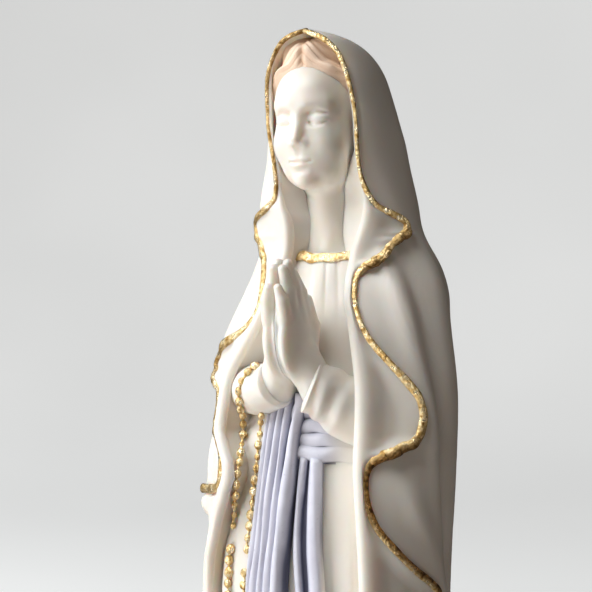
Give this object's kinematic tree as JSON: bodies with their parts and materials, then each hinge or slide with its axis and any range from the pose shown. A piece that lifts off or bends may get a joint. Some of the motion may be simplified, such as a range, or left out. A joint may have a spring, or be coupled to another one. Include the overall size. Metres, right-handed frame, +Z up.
{
  "type": "devotional statue",
  "caption": "Standing robed and veiled woman with joined hands, sash and rosary, cast in pale resin with painted and gilded trim, on a low oval base.",
  "frame": {"origin": "centre of the underside of the base, on the surface the statue stands on", "axes": "+Z up through the figure; the figure faces -Y; her left hand side is +X"},
  "size_m": [0.073, 0.069, 0.25],
  "materials": {
    "alabaster": "warm white cast alabaster resin, satin, slightly translucent",
    "skin": "the same resin, smoother, left unpainted on face, hands and feet",
    "hair": "thin peach-brown colour wash over resin, satin",
    "sash": "pale lavender-blue colour wash, darker in the folds",
    "gold": "bright brushed-on gold paint over resin, uneven, brown where it is thin",
    "felt": "thin grey felt"
  },
  "bodies": {
    "root": {"felt_pad": "felt", "plinth": "alabaster", "rock_mound": "alabaster", "left_foot": "skin", "left_foot_rose": "gold", "left_hand": "skin", "right_foot": "skin", "right_foot_rose": "gold", "right_hand": "skin", "left_sleeve": "alabaster", "right_sleeve": "alabaster", "robe": "alabaster", "neckline_band": "gold", "sash_waistband": "sash", "sash_front_end": "sash", "sash_under_end": "sash", "mantle": "alabaster", "mantle_border_left": "gold", "mantle_border_right": "gold", "head": "skin", "hair": "hair", "rosary_outer_strand": "gold", "rosary_inner_strand": "gold", "rosary_pendant": "gold", "rosary_crucifix": "gold"}
  },
  "joints": []
}
